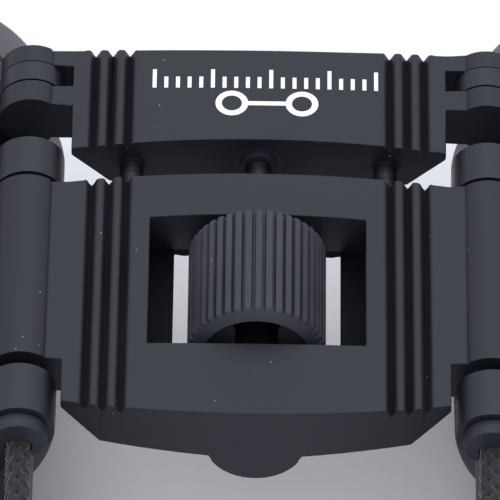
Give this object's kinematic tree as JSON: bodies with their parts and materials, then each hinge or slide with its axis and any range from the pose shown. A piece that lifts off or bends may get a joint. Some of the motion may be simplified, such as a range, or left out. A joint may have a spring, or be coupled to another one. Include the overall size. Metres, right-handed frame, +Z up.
{
  "type": "binoculars",
  "caption": "Compact double-hinge folding roof-prism binoculars with a knurled focus wheel in a window of the bridge and a braided wrist lanyard.",
  "frame": {"origin": "centre of the bottom of the object's box, on the surface that both barrels rest on; the lanyard isn't counted", "axes": "+X across the barrels to the user's left, +Y along the barrels to the eyes, +Z up through the top of the bridge"},
  "size_m": [0.09, 0.1243, 0.0321],
  "materials": {
    "abs_bridge": "fine moulded texture",
    "abs_wheel": "satin, knurled",
    "abs_barrel": "fine moulded texture",
    "black_fittings": "satin",
    "rubber": "matte",
    "glass": "polished",
    "coated_glass": "polished, coated",
    "brass": "turned",
    "steel": "blackened, ground",
    "braided_cord": "braided"
  },
  "bodies": {
    "bridge": {"main_bridge": "abs_bridge", "bridge_floor_plate": "abs_bridge", "floor_plate_screws": "steel", "front_shaft_bush": "brass", "rear_shaft_bush": "brass", "left_hinge_pin": "steel", "right_hinge_pin": "steel", "left_lanyard_cap": "black_fittings", "right_lanyard_cap": "black_fittings", "lanyard_lead_left": "braided_cord", "lanyard_lead_right": "braided_cord", "lanyard_coil": "braided_cord"},
    "focus_drive": {"focus_wheel": "abs_wheel", "wheel_hub": "black_fittings", "focus_screw": "steel", "front_thrust_washer": "steel", "rear_thrust_washer": "steel"},
    "eyepiece_carrier": {"eyepiece_bridge": "abs_bridge", "focus_nut": "black_fittings", "left_guide_rod": "steel", "right_guide_rod": "steel", "left_eyepiece_pin": "steel", "right_eyepiece_pin": "steel"},
    "left_barrel": {"left_barrel_tube": "abs_barrel", "left_barrel_grip": "rubber", "left_objective_ring": "black_fittings", "left_objective_lens": "coated_glass", "left_prism_holder": "black_fittings", "left_half_prism": "glass", "left_roof_prism": "glass"},
    "right_barrel": {"right_barrel_tube": "abs_barrel", "right_barrel_grip": "rubber", "right_objective_ring": "black_fittings", "right_objective_lens": "coated_glass", "right_prism_holder": "black_fittings", "right_half_prism": "glass", "right_roof_prism": "glass"},
    "left_eyepiece": {"left_eyepiece_housing": "abs_barrel", "left_ocular_cell": "black_fittings", "left_field_lens": "glass", "left_eye_lens": "coated_glass", "left_lens_ring": "black_fittings", "left_eyecup": "rubber"},
    "right_eyepiece": {"right_eyepiece_housing": "abs_barrel"},
    "diopter": {"diopter_ring": "abs_wheel"},
    "right_ocular": {"right_ocular_cell": "black_fittings", "right_field_lens": "glass", "right_eye_lens": "coated_glass", "right_lens_ring": "black_fittings", "right_eyecup": "rubber"}
  },
  "joints": [
    {"name": "left_hinge", "type": "hinge", "parent": "bridge", "child": "left_barrel", "pos_m": [0.0195, 0, 0.027], "axis": [0, 1, 0], "range_deg": [-48, 58]},
    {"name": "right_hinge", "type": "hinge", "parent": "bridge", "child": "right_barrel", "pos_m": [-0.0195, 0, 0.027], "axis": [0, -1, 0], "range_deg": [-48, 58]},
    {"name": "focus_spin", "type": "hinge", "parent": "bridge", "child": "focus_drive", "pos_m": [0, 0, 0.02635], "axis": [0, 1, 0], "range_deg": [-288.01, 180.01]},
    {"name": "eyepiece_bridge_slide", "type": "slide", "parent": "bridge", "child": "eyepiece_carrier", "axis": [0, 1, 0], "range_m": [-0.0032, 0.002]},
    {"name": "left_eyepiece_slide", "type": "slide", "parent": "left_barrel", "child": "left_eyepiece", "axis": [0, 1, 0], "range_m": [-0.0032, 0.002]},
    {"name": "right_eyepiece_slide", "type": "slide", "parent": "right_barrel", "child": "right_eyepiece", "axis": [0, 1, 0], "range_m": [-0.0032, 0.002]},
    {"name": "diopter_spin", "type": "hinge", "parent": "right_eyepiece", "child": "diopter", "pos_m": [-0.031, 0, 0.014], "axis": [0, 1, 0], "range_deg": [-100.01, 100.01]},
    {"name": "diopter_travel", "type": "slide", "parent": "right_eyepiece", "child": "right_ocular", "axis": [0, 1, 0], "range_m": [-0.001, 0.001]}
  ],
  "couplings": [
    {"joint": "focus_spin", "follows": "eyepiece_bridge_slide", "rad_per_m": 1570.8},
    {"joint": "left_eyepiece_slide", "follows": "eyepiece_bridge_slide", "ratio": 1},
    {"joint": "right_eyepiece_slide", "follows": "eyepiece_bridge_slide", "ratio": 1},
    {"joint": "diopter_spin", "follows": "diopter_travel", "rad_per_m": 1745.3}
  ]
}
